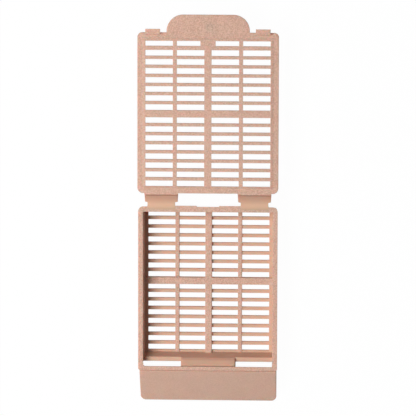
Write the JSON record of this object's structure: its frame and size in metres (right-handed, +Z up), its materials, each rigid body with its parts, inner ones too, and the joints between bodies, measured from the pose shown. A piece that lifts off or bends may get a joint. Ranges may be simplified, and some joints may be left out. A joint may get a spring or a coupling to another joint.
{
  "type": "tissue cassette",
  "caption": "Slotted plastic tissue cassette, lying open: tray with a sloping writing panel, and a slotted lid on two straps that folds over and latches.",
  "frame": {"origin": "on the tray's underside, where the centre rib crosses the middle cross rib", "axes": "+Z up out of the open tray, +Y from the tray towards the lid when it is folded right back, -Y towards the writing panel, +X across"},
  "size_m": [0.0286, 0.0803, 0.0074],
  "materials": {
    "acetal": "fine grain, light tan"
  },
  "bodies": {
    "base": {"base": "acetal"},
    "lid": {"lid": "acetal"}
  },
  "joints": [
    {"name": "lid_hinge", "type": "hinge", "parent": "base", "child": "lid", "pos_m": [0, 0.01734, 0.00622], "axis": [1, 0, 0], "range_deg": [0, 180]}
  ]
}
